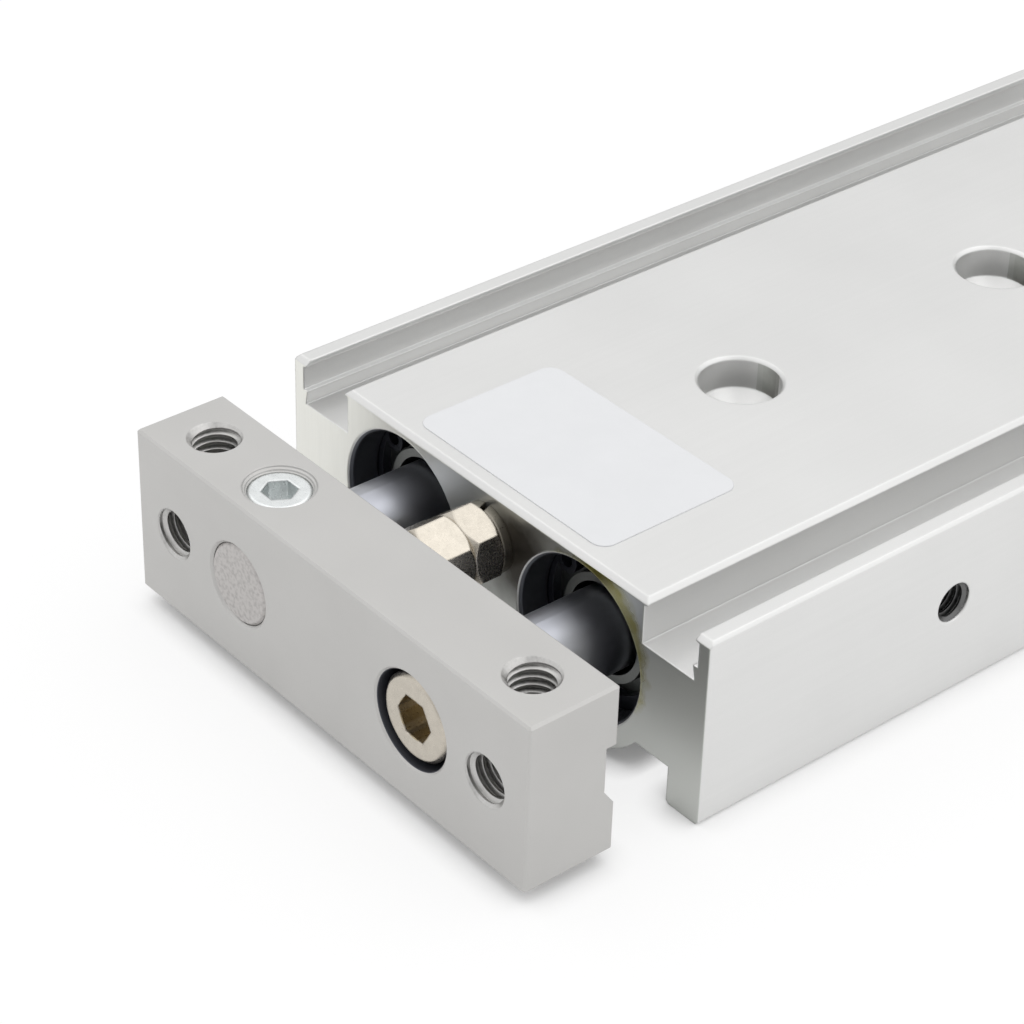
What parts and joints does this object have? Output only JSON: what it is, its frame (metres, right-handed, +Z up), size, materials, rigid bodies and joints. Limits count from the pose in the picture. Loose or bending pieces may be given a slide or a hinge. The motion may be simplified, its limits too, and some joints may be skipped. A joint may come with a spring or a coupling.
{
  "type": "twin rod pneumatic cylinder",
  "caption": "Twin rod pneumatic cylinder: two guided piston rods in one flat extruded housing drive a common tapped plate.",
  "frame": {"origin": "under the middle of the retracted cylinder's bounding box, on the surface that it rests on", "axes": "+Y along the stroke from the plate to the rear end, +Z up, +X across the two rods, towards the port side"},
  "size_m": [0.058, 0.1288, 0.0195],
  "materials": {
    "anodised_housing": "clear anodised extrusion, machined ends",
    "anodised_plate": "satin anodised after machining",
    "bearing_alloy": "turned",
    "hard_chrome": "ground and hard chrome plated",
    "nickel_steel": "nickel plated",
    "spring_steel": "phosphated",
    "zinc_steel": "zinc plated",
    "nitrile_rubber": "moulded",
    "urethane": "moulded",
    "bonded_magnet": "moulded"
  },
  "bodies": {
    "cylinder_body": {"housing": "anodised_housing", "bumper_bolt": "nickel_steel", "bumper_pad": "urethane", "lock_nut": "nickel_steel", "spring_washer": "nickel_steel", "front_port_plug": "zinc_steel", "rear_port_plug": "zinc_steel", "passage_ball": "zinc_steel", "front_retaining_ring_left": "spring_steel", "seal_retainer_left": "bearing_alloy", "rod_seal_left": "nitrile_rubber", "rod_cover_left": "bearing_alloy", "rod_cover_o_ring_left": "nitrile_rubber", "front_bumper_left": "urethane", "rear_bumper_left": "urethane", "head_cover_left": "bearing_alloy", "head_cover_o_ring_left": "nitrile_rubber", "rear_retaining_ring_left": "spring_steel", "front_retaining_ring_right": "spring_steel", "seal_retainer_right": "bearing_alloy", "rod_seal_right": "nitrile_rubber", "rod_cover_right": "bearing_alloy", "rod_cover_o_ring_right": "nitrile_rubber", "front_bumper_right": "urethane", "rear_bumper_right": "urethane", "head_cover_right": "bearing_alloy", "head_cover_o_ring_right": "nitrile_rubber", "rear_retaining_ring_right": "spring_steel"},
    "plate_and_rods": {"plate": "anodised_plate", "piston_rod_left": "hard_chrome", "piston_rod_right": "hard_chrome", "cap_screw": "nickel_steel", "set_screw": "zinc_steel", "piston_left": "bearing_alloy", "piston_seal_left": "nitrile_rubber", "piston_magnet_left": "bonded_magnet", "piston_right": "bearing_alloy", "piston_seal_right": "nitrile_rubber", "piston_magnet_right": "bonded_magnet"}
  },
  "joints": [
    {"name": "plate_slide", "type": "slide", "parent": "cylinder_body", "child": "plate_and_rods", "axis": [0, -1, 0], "range_m": [0, 0.05]}
  ]
}
